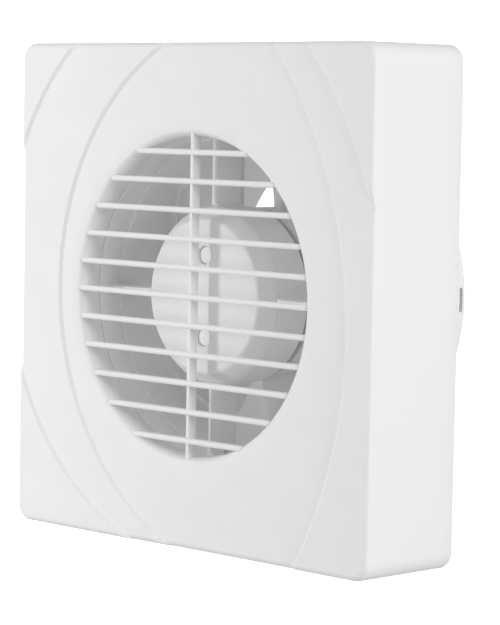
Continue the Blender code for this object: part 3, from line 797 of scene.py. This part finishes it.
class FAN_OT_carrier(bpy.types.Operator):
    """Motor cup, its four arms and the ring that seats in the housing"""

    bl_idname = "fan.carrier"
    bl_label = "Motor carrier"

    def execute(self, context):
        cup = soften(
            [
                (25.6, SEAM + 0.1),
                (CUP_RADIUS, SEAM + 0.1),
                (CUP_RADIUS, 26.3),
                (6.0, 26.3),
                (6.0, 26.9),
                (4.0, 26.9),
                (4.0, 23.0),
                (6.0, 23.0),
                (6.0, 25.3),
                (25.6, 25.3),
            ],
            [0.1, 0.1, 0.8, 0.3, 0.2, 0.2, 0.2, 0.2, 0.5, 1.0],
            5,
        )
        band = [(48.4, 9.95), (50.0, 9.95), (50.0, 18.12), (48.4, 18.12)]
        ring = soften(band, [0.6, 0.2, 0.1, 0.1], 4)
        patches = [turned(cup, 160), turned(ring, 192)]
        for number, thick in enumerate((1.2, 2.2, 1.2, 1.2)):
            # The arm's half thickness grows by a fillet of the form exp(-distance) at both ends
            spans = ((26.3, 31.0, 12), (33.0, 42.0, 6), (44.0, 49.2, 12))
            r = np.concatenate([np.linspace(*span) for span in spans])
            flare = 1.1 * np.exp(-(r - 26.9) / 0.7) + 1.1 * np.exp(-(48.3 - r) / 0.7)
            half = thick / 2 + np.clip(flare, 0, 1.4)
            front = 13.9 - 1.8 * ease((r - 27.0) / 0.7)
            back = 22.8 - 5.3 * ease((r - 47.0) / 0.4)
            t = np.linspace(-pi / 2, pi / 2, 7)
            nose = 0.5 * thick * 0.8
            sections = []
            for radius, h, first, end in zip(r, half, front, back):
                depth = np.concatenate([first + nose - nose * np.cos(t), [end, end]])
                across = np.concatenate([h * np.sin(t), [h, -h]])
                sections.append(place_mm(radius, depth, across))
            patches.append(spin_about_axis(loft(np.array(sections)), number * pi / 2))
        piece("carrier_frame", patches, moulded_abs_inner, "housing", 40.0, ("motor_carrier",))
        return {"FINISHED"}


class FAN_OT_housing(bpy.types.Operator):
    """Duct and spigot, the wall plate and its gasket, grommet, tongues and bosses"""

    bl_idname = "fan.housing"
    bl_label = "Housing"

    def execute(self, context):
        end = SPIGOT_END
        profile = soften(
            [
                (50.3, 10.2),
                (52.2, 10.2),
                (52.2, 19.8),
                (BARREL_RADIUS, 21.7),
                (BARREL_RADIUS, end - 5.5),
                (51.2, end - 4.5),
                (51.2, end),
                (DUCT_RADIUS - 1.0, end),
                (DUCT_RADIUS, 18.1),
                (50.3, 18.1),
            ],
            [0.2, 0.3, 1.0, 1.0, 0.6, 0.6, 0.9, 0.6, 0.2, 0.15],
            6,
        )
        body = turned(profile, 224)
        duct = piece("duct_tube", [body], moulded_abs_inner, "housing", stands_for=("rear_housing",))
        slots = []
        for side in (-1, 1):
            across = (side * BARREL_RADIUS - 4, side * BARREL_RADIUS + 4)
            slots.append(tool(slab(across, (end - 2.9, end - 1.5), (-3.75, 3.75), 0.6)))
        carve(duct, *slots)
        front, back = PLATE_FRONT, WALL_PLANE
        half = HALF - 2.6
        angle = cover_angles(half, 2.9, 60, 10)[:, None]
        c, s = np.cos(angle), np.sin(angle)
        inset = np.array([0.4, 0.0, 0.0, 0.4])
        depth = np.array([front, front + 0.4, back - 0.4, back])
        floor = back - 1.5
        groove = [(60.3, back), (60.3, floor), (52.7, floor), (52.7, back), (49.3, back), (49.3, front)]
        outline = [ray_to_square(half - k, 2.9 - k, c, s) for k in inset]
        radius = np.concatenate(outline + [r + 0 * c for r, _ in groove], 1)
        depths = np.concatenate([d + 0 * c for d in depth] + [d + 0 * c for _, d in groove], 1)
        grid = place_mm(radius * c, depths, radius * s)
        plate = piece("wall_plate", [(grid, True, True)], moulded_abs_inner, "housing")
        tools = []
        corners = ((-1, -1), (1, -1), (1, 1), (-1, 1))
        holes = [((x * WALL_HOLE, z * WALL_HOLE), 2.6) for x, z in corners] + [(CABLE_ENTRY, 4.9)]
        for spot, r in holes:
            hole = [(0, front - 2), (r + 2.2, front - 2), (r, front + 0.25), (r, back + 2), (0, back + 2)]
            tools.append(tool(turned(hole, 40, spot, False)))
        carve(plate, *tools)
        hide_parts("rear_housing")
        fittings = []
        for x in (-44.0, 30.0):
            for side in (-1, 1):
                z = sorted((side * (half - 0.1), side * (half - 1.8)))
                fittings.append(slab((x, x + 14), (front - 12, front + 0.8), z, 0.4))
        bosses = [(LID_SCREW, 3.0, 21.4, 1.7)] + [(spot, 2.8, 29.3, 1.5) for spot in CLAMP_SCREWS]
        for spot, r, top, bore in bosses:
            boss = soften([(bore, top), (r, top), (r, front + 0.5), (bore, front + 0.5)], 0.2, 4)
            fittings.append(turned(boss, 32, spot))
        piece("plate_fittings", fittings, moulded_abs_inner, "housing", stands_for=("rear_housing",))
        foam = soften([(53.0, back - 1.2), (60.0, back - 1.2), (60.0, back), (53.0, back)], 0.3, 4)
        ring = turned(foam, 160)
        piece("gasket_ring", [ring], sliced_pe_foam, "housing", 35.0, ("wall_gasket",))
        grommet = soften(
            [
                (2.6, front - 3),
                (3.6, front - 3),
                (6.4, front - 1.6),
                (6.4, front - 0.3),
                (4.6, front - 0.3),
                (4.6, back - 0.2),
                (2.6, back - 0.2),
            ],
            0.35,
            5,
        )
        ring = turned(grommet, 48, CABLE_ENTRY)
        held = ("cable_grommet",)
        piece("grommet_ring", [ring], moulded_epdm_black, "housing", 35.0, held)
        return {"FINISHED"}


def blade(phase, twist, thickness=2.1):
    """A blade: round the axis by an angle that grows evenly with depth, with an aerofoil's thickness.

    Thickness along the chord, t from 0 to 1, goes as 2.3 sqrt(t (1 - t)) (1.12 - t / 2), so the front edge
    is the blunter one. The chord is fullest near the middle of the span and its outer corners are round.
    """
    length = BLADE_TIP - BLADE_ROOT
    tip = BLADE_TIP - 1.0 * (1 - np.sin(np.linspace(0.2, pi / 2, 7)))
    span = np.concatenate([np.linspace(BLADE_ROOT, BLADE_TIP - 1.0, 16), tip])
    share = (span - BLADE_ROOT) / length
    mid, half_chord = 36.8, 6.9
    t = (1 - np.cos(np.linspace(0, pi, 17))) / 2
    loop = np.concatenate([t, t[-2:0:-1]])
    sign = np.concatenate([np.ones(17), -np.ones(15)])
    round_off = np.sqrt(np.clip(1 - ((span - 43.0) / 3.35).clip(0, 1) ** 2, 0.02, 1))
    fullness = 0.91 + 0.09 * np.sin(pi * (0.1 + 0.75 * share))
    reach = half_chord * fullness * (0.72 + 0.28 * round_off)
    thick = thickness * (1.15 - 0.45 * share) * np.clip(round_off * 1.3, 0.15, 1)
    body = 2.3 * np.sqrt(loop * (1 - loop)) * (1.12 - 0.5 * loop) / 2
    depth = mid + (2 * loop - 1)[None] * reach[:, None]
    angle = phase + twist / (2 * half_chord) * (depth - mid)
    angle = angle + (sign * body)[None] * thick[:, None] / span[:, None]
    # A little camber: the middle of the chord leads the straight line between nose and tail
    angle = angle + 0.035 * (1 - (2 * loop - 1) ** 2)[None]
    return loft(place_mm(span[:, None] * np.cos(angle), depth, span[:, None] * np.sin(angle)))


class FAN_OT_impeller(bpy.types.Operator):
    """Impeller with its hub, blades, shaft end, washer and nut"""

    bl_idname = "fan.impeller"
    bl_label = "Impeller"

    def execute(self, context):
        sizes = context.scene.fan_sizes
        hub = soften(
            [
                (BORE_RADIUS, HUB_FRONT),
                (26.6, HUB_FRONT),
                (26.6, HUB_BACK),
                (25.0, HUB_BACK),
                (25.0, 31.0),
                (4.6, 31.0),
                (4.2, 37.9),
                (BORE_RADIUS, 37.9),
            ],
            [0.1, 1.2, 0.4, 0.4, 1.2, 0.8, 0.3, 0.1],
            6,
        )
        patches = [turned(hub, 144)]
        for number in range(sizes.blades):
            patches.append(blade(radians(81.5) + number * tau / sizes.blades, sizes.blade_twist))
        for number in range(6):
            rib = slab((4.0, 25.3), (30.7, 35.8), (-0.6, 0.6), 0.25)
            patches.append(spin_about_axis(rib, number * tau / 6 + 0.3))
        piece("impeller_wheel", patches, moulded_pp_white, "rotor", 40.0, ("impeller",))
        pin = [(0, 10.9), (1.5, 10.9), (1.5, 42.3), (0, 42.3)]
        shaft = turned(soften(pin, [0, 0.3, 0.35, 0], 4, closed=False), 40, closed=False)
        piece("shaft_rod", [shaft], plated_steel, "rotor", 35.0, ("motor_shaft",))
        section = [(BORE_RADIUS, 38.2), (4.4, 38.2), (4.4, 39.0), (BORE_RADIUS, 39.0)]
        washer = turned(soften(section, 0.15, 3), 48)
        piece("washer_ring", [washer], plated_steel, "rotor", 35.0, ("impeller_washer",))
        # Hexagon drawn in at both faces by 30 degree chamfers
        a = np.linspace(0, tau, 48, endpoint=False)
        hexagon = 2.75 / np.cos((a + pi / 6) % (pi / 3) - pi / 6)
        levels = [(39.3, 2.85), (39.55, 3.3), (41.45, 3.3), (41.7, 2.85)]
        rows = [(depth, np.minimum(hexagon, limit)) for depth, limit in levels]
        rows += [(41.7, 1.85 + 0 * a), (39.3, 1.85 + 0 * a)]
        grid = np.array([place_mm(r * np.cos(a), d, r * np.sin(a)) for d, r in rows])
        piece("nut_hex", [(grid, True, True)], plated_steel, "rotor", 25.0, ("impeller_nut",))
        return {"FINISHED"}


class FAN_OT_wiring(bpy.types.Operator):
    """Terminal lid, cable clamp and motor lead, with softened edges"""

    bl_idname = "fan.wiring"
    bl_label = "Wiring"

    def execute(self, context):
        shell = slab((-15, 27), (19.2, 35.2), (54.4, 71.6), 0.9)
        lid = piece("lid_shell", [shell], moulded_abs_inner, "housing")
        tools = [
            tool(slab((-13.6, 25.6), (20.6, 38), (55.8, 70.2), 0.5)),
            tool(slab((24, 28.5), (29, 38), (60, 68), 0.4)),
            tool(slab((-1.6, 1.6), (22.4, 38), (53, 57), 0.4)),
            tool(turned([(0, 17), (1.7, 17), (1.7, 22), (0, 22)], 32, LID_SCREW, False)),
        ]
        carve(lid, *tools)
        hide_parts("terminal_lid")
        bar = slab((31, 37), (26.4, 28.9), (54.8, 70.6), 0.6)
        clamp = piece("clamp_bar", [bar], moulded_abs_inner, "housing")
        hole = [(0, 25), (1.5, 25), (1.5, 31), (0, 31)]
        tools = [tool(turned(hole, 32, spot, False)) for spot in CLAMP_SCREWS]
        carve(clamp, *tools)
        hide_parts("cable_clamp")
        z = np.linspace(23.0, 57.2, 30)[:, None]
        a = np.linspace(0, tau, 20, endpoint=False)[None]
        grid = place_mm(0.8 * np.cos(a), 24.0 + 0.8 * np.sin(a), z)
        piece("lead_sheath", [loft(grid)], extruded_pvc_white, "housing", 35.0, ("motor_lead",))
        return {"FINISHED"}


class FAN_OT_hardware(bpy.types.Operator):
    """Finishes for the screws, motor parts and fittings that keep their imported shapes"""

    bl_idname = "fan.hardware"
    bl_label = "Hardware"

    def execute(self, context):
        makers = {
            "white_plastic": moulded_abs_inner,
            "grey_plastic": moulded_polyamide_grey,
            "black_plastic": moulded_pvc_black,
            "black_rubber": moulded_epdm_black,
            "grey_foam": sliced_pe_foam,
            "electrical_steel": varnished_laminations,
            "enamelled_copper": enamelled_copper,
            "sintered_bronze": sintered_bronze,
            "zinc_steel": plated_steel,
        }
        slots = {item["node"]: item["material_slot"] for item in frame["record"]["subparts"]}
        for node, item in frame["nodes"].items():
            if item.hide_render:
                continue
            for held in item.material_slots:
                held.material = finish(makers[slots[node]])
        return {"FINISHED"}


class FAN_OT_studio(bpy.types.Operator):
    """Pale floor and backdrop, soft lights and the camera"""

    bl_idname = "fan.studio"
    bl_label = "Studio"

    def execute(self, context):
        look = context.scene.fan_look
        scene = context.scene
        scene.view_settings.view_transform = "Standard"
        scene.view_settings.look = "None"
        # Floor: flat in front, curving up behind as a quarter circle of 1.2 m
        x = np.linspace(-4, 4, 9)[:, None]
        turn = np.linspace(0, pi / 2, 13)
        along = np.concatenate([[-4.0], 2.0 + 1.2 * np.sin(turn), [3.2]])
        rise = np.concatenate([[0.0], 1.2 * (1 - np.cos(turn)), [4.0]])
        grid = np.stack(np.broadcast_arrays(x, along[None], rise[None] - 0.42), axis=-1)
        floor = piece("studio_sweep", [(grid, False, False)], studio_floor, None)
        floor.visible_diffuse = False
        floor.visible_glossy = False
        world = bpy.data.worlds.new("studio_air")
        world.use_nodes = True
        scene.world = world
        tree = world.node_tree
        tree.nodes.clear()
        seen = add(tree, "ShaderNodeBackground", Strength=1.0)
        seen.inputs["Color"].default_value = (*look.backdrop, 1.0)
        even = add(tree, "ShaderNodeBackground", Strength=look.room)
        path = add(tree, "ShaderNodeLightPath")
        either = {0: path.outputs["Is Camera Ray"], 1: even.outputs[0], 2: seen.outputs[0]}
        mixed = add(tree, "ShaderNodeMixShader", either)
        add(tree, "ShaderNodeOutputWorld", {"Surface": mixed.outputs[0]})
        centre = Vector((0.0, FRONT, 0.0))
        lights = (
            # name, bearing from the panel's normal (left negative), elevation, distance, width, height, power
            ("key", -48.0, 2.0, 0.6, 0.085, 0.6, look.key_power),
            ("fill", 85.0, 14.0, 1.5, 0.5, 0.5, look.fill_power),
        )
        for name, bearing, height, distance, wide, tall, power in lights:
            lamp = bpy.data.lights.new(name, "AREA")
            lamp.shape = "RECTANGLE"
            lamp.size, lamp.size_y, lamp.energy = wide, tall, power
            holder = bpy.data.objects.new(name, lamp)
            scene.collection.objects.link(holder)
            b, e = radians(bearing), radians(height)
            way = Vector((sin(b) * cos(e), -cos(b) * cos(e), sin(e)))
            holder.location = centre + way * distance
            holder.rotation_euler = way.to_track_quat("Z", "Y").to_euler()
        az, el, roll = (radians(value) for value in CAMERA_TURN)
        back = Vector((sin(az) * cos(el), -cos(az) * cos(el), sin(el)))
        right = (-back).cross(Vector((0, 0, 1))).normalized()
        up = right.cross(-back)
        level_right = right * cos(roll) + up * sin(roll)
        level_up = up * cos(roll) - right * sin(roll)
        view = bpy.data.cameras.new("camera")
        view.lens = look.lens
        camera = bpy.data.objects.new("camera", view)
        scene.collection.objects.link(camera)
        turn = Matrix((level_right, level_up, back)).transposed()
        camera.matrix_world = Matrix.Translation(CAMERA_PLACE) @ turn.to_4x4()
        scene.camera = camera
        return {"FINISHED"}


class FAN_PT_panel(bpy.types.Panel):
    """Buttons that build the fan"""

    bl_idname = "FAN_PT_panel"
    bl_label = "Extractor fan"
    bl_space_type = "VIEW_3D"
    bl_region_type = "UI"
    bl_category = "Fan"

    def draw(self, context):
        for maker in BUILDERS:
            self.layout.operator(maker.bl_idname)
        for group in (context.scene.fan_sizes, context.scene.fan_look):
            for key in group.__annotations__:
                self.layout.prop(group, key)


BUILDERS = (
    FAN_OT_cover,
    FAN_OT_grille,
    FAN_OT_motor_cap,
    FAN_OT_carrier,
    FAN_OT_housing,
    FAN_OT_impeller,
    FAN_OT_wiring,
    FAN_OT_hardware,
    FAN_OT_studio,
)
CLASSES = (FanSizes, FanLook, *BUILDERS, FAN_PT_panel)


def register():
    for item in CLASSES:
        bpy.utils.register_class(item)
    bpy.types.Scene.fan_sizes = bpy.props.PointerProperty(type=FanSizes)
    bpy.types.Scene.fan_look = bpy.props.PointerProperty(type=FanLook)


def unregister():
    del bpy.types.Scene.fan_look
    del bpy.types.Scene.fan_sizes
    for item in reversed(CLASSES):
        bpy.utils.unregister_class(item)


def main():
    register()
    for maker in BUILDERS:
        group, action = maker.bl_idname.split(".")
        getattr(getattr(bpy.ops, group), action)()


if __name__ == "__main__":
    main()
